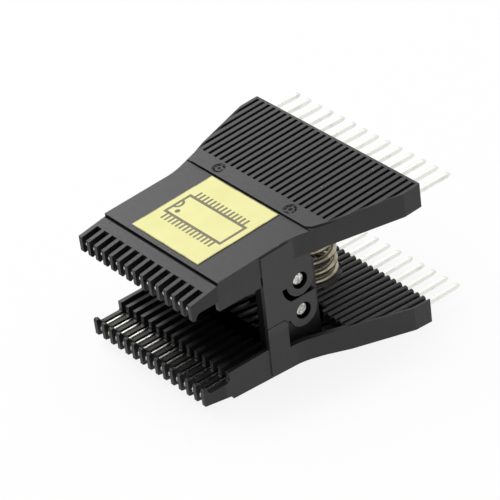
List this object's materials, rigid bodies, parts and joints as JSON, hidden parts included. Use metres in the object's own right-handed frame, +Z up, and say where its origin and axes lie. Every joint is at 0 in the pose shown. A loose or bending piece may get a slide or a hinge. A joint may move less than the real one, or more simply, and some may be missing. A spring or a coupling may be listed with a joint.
{
  "type": "integrated circuit test clip",
  "caption": "Spring-loaded test clip with two hinged comb-nosed jaws, fanned contacts, ribbed handles and rows of square tail pins, for gripping a shrink DIP package.",
  "frame": {"origin": "middle of the lower handle pad's ribbed length, on the surface that the clip lies on", "axes": "+X across the clip along the hinge pins, +Y from the nose to the tail pins, +Z up"},
  "size_m": [0.036, 0.0452, 0.0238],
  "materials": {
    "jaw_plastic": "satin moulded",
    "pin_steel": "cut end",
    "spring_steel": "oiled",
    "label_film": "satin film",
    "contact_metal": "nickel plated"
  },
  "bodies": {
    "lower_half": {"lower_jaw": "jaw_plastic", "hinge_pin": "pin_steel", "return_spring": "spring_steel", "lower_contact_01": "contact_metal", "lower_contact_02": "contact_metal", "lower_contact_03": "contact_metal", "lower_contact_04": "contact_metal", "lower_contact_05": "contact_metal", "lower_contact_06": "contact_metal", "lower_contact_07": "contact_metal", "lower_contact_08": "contact_metal", "lower_contact_09": "contact_metal", "lower_contact_10": "contact_metal", "lower_contact_11": "contact_metal", "lower_contact_12": "contact_metal", "lower_contact_13": "contact_metal", "lower_contact_14": "contact_metal"},
    "upper_half": {"upper_jaw": "jaw_plastic", "keeper_pin": "pin_steel", "label_plate": "label_film", "upper_contact_01": "contact_metal", "upper_contact_02": "contact_metal", "upper_contact_03": "contact_metal", "upper_contact_04": "contact_metal", "upper_contact_05": "contact_metal", "upper_contact_06": "contact_metal", "upper_contact_07": "contact_metal", "upper_contact_08": "contact_metal", "upper_contact_09": "contact_metal", "upper_contact_10": "contact_metal", "upper_contact_11": "contact_metal", "upper_contact_12": "contact_metal", "upper_contact_13": "contact_metal", "upper_contact_14": "contact_metal"}
  },
  "joints": [
    {"name": "jaw_hinge", "type": "hinge", "parent": "lower_half", "child": "upper_half", "pos_m": [0, -0.01245, 0.00883], "axis": [-1, 0, 0], "range_deg": [0, 20], "stiffness_Nm_per_rad": 0.2, "springref_deg": -40.11, "deforming": ["return_spring"]}
  ]
}
